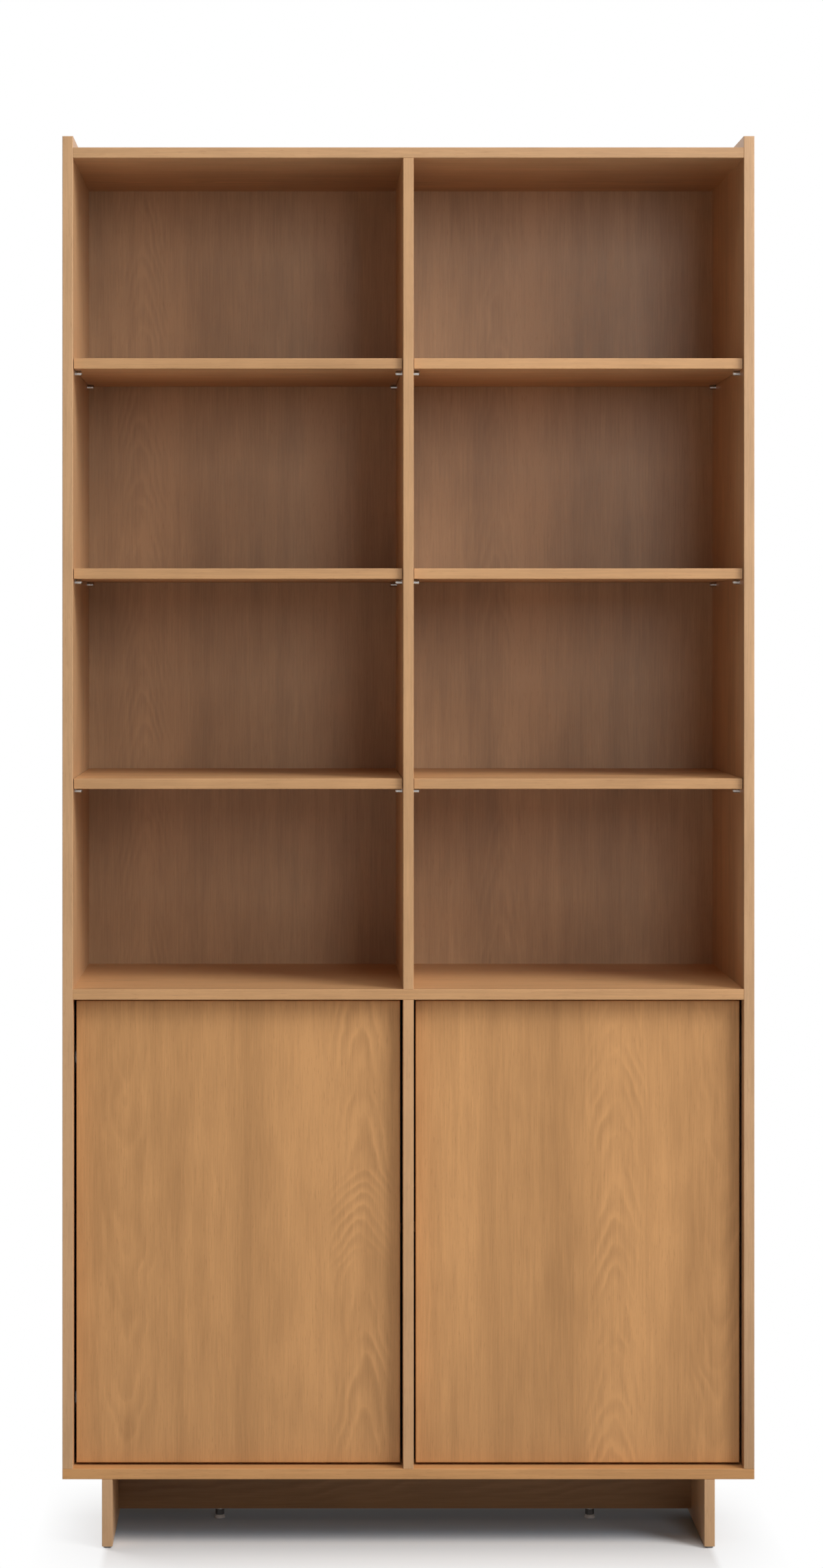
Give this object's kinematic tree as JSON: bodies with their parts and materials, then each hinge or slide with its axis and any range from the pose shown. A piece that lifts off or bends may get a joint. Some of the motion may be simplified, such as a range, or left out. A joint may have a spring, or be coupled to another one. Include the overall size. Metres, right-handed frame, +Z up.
{
  "type": "bookcase with cabinet doors",
  "caption": "Tall free-standing oak-veneered bookcase: open shelves on pins in two bays over a cabinet with inset handle-less doors, on leg panels with levelling feet.",
  "frame": {"origin": "on the floor, under the middle of the bookcase's width and depth", "axes": "+Z up, +X to the right as seen from the front, +Y from the front to the back"},
  "size_m": [0.98, 0.38, 2],
  "materials": {
    "oak_veneer": "matt lacquered oak veneer",
    "oak_back": "matt lacquered oak veneer on thin board",
    "dowel_wood": "plain beech",
    "plated_steel": "nickel-plated",
    "cast_zinc": "bright cast zinc",
    "dark_plastic": "moulded, dark",
    "grey_plastic": "moulded, grey"
  },
  "bodies": {
    "carcass": {"back_panel_screws": "plated_steel", "base_rail": "oak_veneer", "board_screws": "plated_steel", "bottom_panel": "oak_veneer", "cabinet_shelf_pins": "plated_steel", "cam_bolts": "plated_steel", "cam_discs": "cast_zinc", "dowels": "dowel_wood", "foot_inserts": "plated_steel", "latch_screws": "plated_steel", "left_hinge_screws": "plated_steel", "left_latch_housing": "dark_plastic", "left_leg_panel": "oak_veneer", "left_lower_hinge_arm": "plated_steel", "left_lower_hinge_plate": "plated_steel", "left_side_panel": "oak_veneer", "left_upper_hinge_arm": "plated_steel", "left_upper_hinge_plate": "plated_steel", "leg_glides": "grey_plastic", "lower_back_panel": "oak_back", "lower_divider": "oak_veneer", "middle_deck": "oak_veneer", "open_shelf_pins": "plated_steel", "right_hinge_screws": "plated_steel", "right_latch_housing": "dark_plastic", "right_leg_panel": "oak_veneer", "right_lower_hinge_arm": "plated_steel", "right_lower_hinge_plate": "plated_steel", "right_side_panel": "oak_veneer", "right_upper_hinge_arm": "plated_steel", "right_upper_hinge_plate": "plated_steel", "top_panel": "oak_veneer", "upper_back_panel": "oak_back", "upper_divider": "oak_veneer"},
    "left_door": {"left_door": "oak_veneer", "left_lower_hinge_cup": "plated_steel", "left_upper_hinge_cup": "plated_steel", "left_hinge_pins": "plated_steel", "left_door_screws": "plated_steel", "left_strike_plate": "plated_steel"},
    "left_latch_plunger": {"left_latch_plunger": "dark_plastic"},
    "left_levelling_foot": {"left_levelling_foot": "dark_plastic"},
    "left_low_shelf": {"left_low_shelf": "oak_veneer"},
    "left_middle_shelf": {"left_middle_shelf": "oak_veneer"},
    "left_high_shelf": {"left_high_shelf": "oak_veneer"},
    "left_cabinet_shelf": {"left_cabinet_shelf": "oak_veneer"},
    "right_door": {"right_door": "oak_veneer", "right_lower_hinge_cup": "plated_steel", "right_upper_hinge_cup": "plated_steel", "right_hinge_pins": "plated_steel", "right_door_screws": "plated_steel", "right_strike_plate": "plated_steel"},
    "right_latch_plunger": {"right_latch_plunger": "dark_plastic"},
    "right_levelling_foot": {"right_levelling_foot": "dark_plastic"},
    "right_low_shelf": {"right_low_shelf": "oak_veneer"},
    "right_middle_shelf": {"right_middle_shelf": "oak_veneer"},
    "right_high_shelf": {"right_high_shelf": "oak_veneer"},
    "right_cabinet_shelf": {"right_cabinet_shelf": "oak_veneer"}
  },
  "joints": [
    {"name": "left_door_hinge", "type": "hinge", "parent": "carcass", "child": "left_door", "pos_m": [-0.4555, -0.158, 0.445], "axis": [0, 0, -1], "range_deg": [0, 95]},
    {"name": "left_latch_push", "type": "slide", "parent": "carcass", "child": "left_latch_plunger", "axis": [0, 1, 0], "range_m": [0, 0.004], "stiffness_N_per_m": 400, "springref_m": -0.002},
    {"name": "left_low_shelf_lift", "type": "slide", "parent": "carcass", "child": "left_low_shelf", "axis": [0, 0, 1], "range_m": [0, 0.25]},
    {"name": "left_middle_shelf_lift", "type": "slide", "parent": "carcass", "child": "left_middle_shelf", "axis": [0, 0, 1], "range_m": [0, 0.25]},
    {"name": "left_high_shelf_lift", "type": "slide", "parent": "carcass", "child": "left_high_shelf", "axis": [0, 0, 1], "range_m": [0, 0.25]},
    {"name": "left_cabinet_shelf_lift", "type": "slide", "parent": "carcass", "child": "left_cabinet_shelf", "axis": [0, 0, 1], "range_m": [0, 0.2]},
    {"name": "left_foot_turn", "type": "hinge", "parent": "carcass", "child": "left_levelling_foot", "pos_m": [-0.271, -0.0175, 0], "axis": [0, 0, 1], "continuous": true},
    {"name": "right_door_hinge", "type": "hinge", "parent": "carcass", "child": "right_door", "pos_m": [0.4555, -0.158, 0.445], "axis": [0, 0, 1], "range_deg": [0, 95]},
    {"name": "right_latch_push", "type": "slide", "parent": "carcass", "child": "right_latch_plunger", "axis": [0, 1, 0], "range_m": [0, 0.004], "stiffness_N_per_m": 400, "springref_m": -0.002},
    {"name": "right_low_shelf_lift", "type": "slide", "parent": "carcass", "child": "right_low_shelf", "axis": [0, 0, 1], "range_m": [0, 0.25]},
    {"name": "right_middle_shelf_lift", "type": "slide", "parent": "carcass", "child": "right_middle_shelf", "axis": [0, 0, 1], "range_m": [0, 0.25]},
    {"name": "right_high_shelf_lift", "type": "slide", "parent": "carcass", "child": "right_high_shelf", "axis": [0, 0, 1], "range_m": [0, 0.25]},
    {"name": "right_cabinet_shelf_lift", "type": "slide", "parent": "carcass", "child": "right_cabinet_shelf", "axis": [0, 0, 1], "range_m": [0, 0.2]},
    {"name": "right_foot_turn", "type": "hinge", "parent": "carcass", "child": "right_levelling_foot", "pos_m": [0.271, -0.0175, 0], "axis": [0, 0, 1], "continuous": true}
  ]
}
